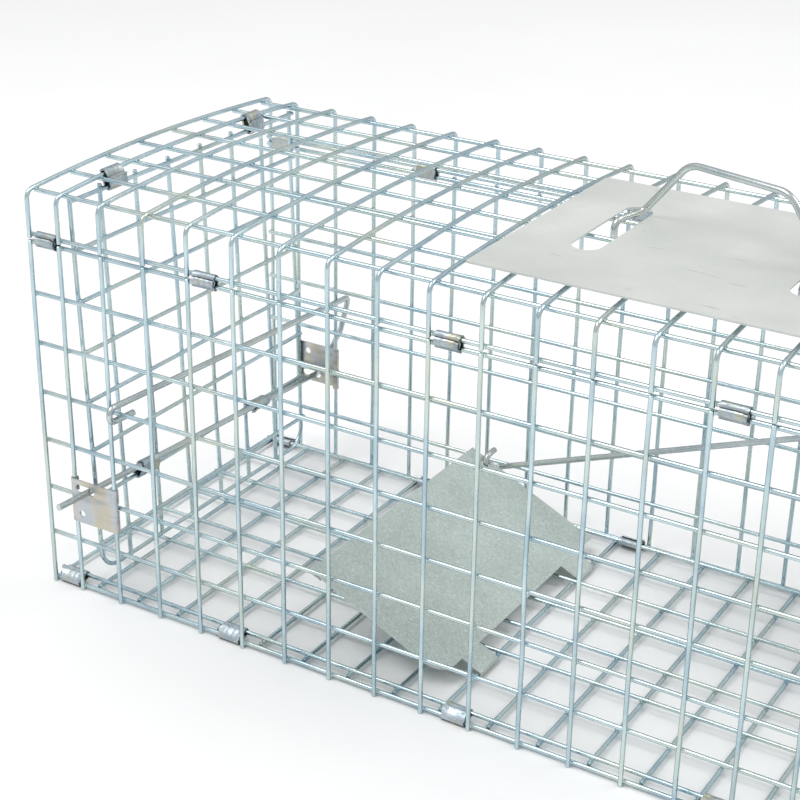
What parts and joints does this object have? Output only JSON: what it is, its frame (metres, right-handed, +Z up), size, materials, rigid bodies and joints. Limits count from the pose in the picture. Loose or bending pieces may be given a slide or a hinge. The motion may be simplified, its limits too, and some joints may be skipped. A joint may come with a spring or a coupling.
{
  "type": "live catch trap",
  "caption": "Wire mesh live catch trap: box cage with a pinned rear door, a falling front door, a tilting trigger pan with its rod, a guard plate and a carrying handle.",
  "frame": {"origin": "on the ground under the middle of the cage", "axes": "+X towards the front (falling door) end, +Y towards the far side, where the trigger rod runs, +Z up"},
  "size_m": [0.6226, 0.232, 0.2488],
  "materials": {
    "mesh_wire": "bright zinc-plated wire",
    "form_wire": "zinc-plated spring wire",
    "clip_steel": "zinc-plated folded strip",
    "lock_plate": "zinc plate with a yellow chromate tint",
    "guard_sheet": "matte galvanised sheet",
    "pan_sheet": "galvanised sheet with fine scratches"
  },
  "bodies": {
    "root": {"floor_panel": "mesh_wire", "near_side_panel": "mesh_wire", "far_side_panel": "mesh_wire", "top_panel": "mesh_wire", "near_top_clips": "clip_steel", "far_top_clips": "clip_steel", "near_bottom_clips": "clip_steel", "far_bottom_clips": "clip_steel", "near_lock_plate": "lock_plate", "far_lock_plate": "lock_plate", "guard_plate": "guard_sheet", "rod_guide": "clip_steel", "rear_hinge_clips": "clip_steel", "front_hinge_clips": "clip_steel"},
    "rear_door": {"rear_door": "mesh_wire", "pin_clips": "clip_steel"},
    "lock_pin": {"lock_pin": "form_wire"},
    "front_door": {"front_door": "mesh_wire"},
    "trigger_pan": {"trigger_pan": "pan_sheet"},
    "trigger_rod": {"trigger_rod": "form_wire"},
    "carry_handle": {"carry_handle": "form_wire"}
  },
  "joints": [
    {"name": "rear_door_swing", "type": "hinge", "parent": "root", "child": "rear_door", "pos_m": [-0.2899, 0, 0.2082], "axis": [0, 1, 0], "range_deg": [-0.4, 0.4]},
    {"name": "lock_pin_slide", "type": "slide", "parent": "rear_door", "child": "lock_pin", "axis": [0, 0.9986, -0.0523], "range_m": [-0.0006, 0.003]},
    {"name": "front_door_swing", "type": "hinge", "parent": "root", "child": "front_door", "pos_m": [0.2899, 0, 0.2082], "axis": [0, 1, 0], "range_deg": [0, 68]},
    {"name": "pan_tilt", "type": "hinge", "parent": "root", "child": "trigger_pan", "pos_m": [-0.0803, 0, 0.0026], "axis": [0, 1, 0], "range_deg": [-14, 3]},
    {"name": "rod_swing", "type": "hinge", "parent": "trigger_pan", "child": "trigger_rod", "pos_m": [-0.1525, 0.0747, 0.03755], "axis": [0, 1, 0], "range_deg": [-2.4, 10.8]},
    {"name": "handle_swing", "type": "hinge", "parent": "root", "child": "carry_handle", "pos_m": [0.0021, 0, 0.21393], "axis": [0.9649, -0.2627, 0], "range_deg": [-28, 60]}
  ],
  "couplings": [
    {"joint": "rod_swing", "follows": "pan_tilt", "ratio": -0.75}
  ]
}
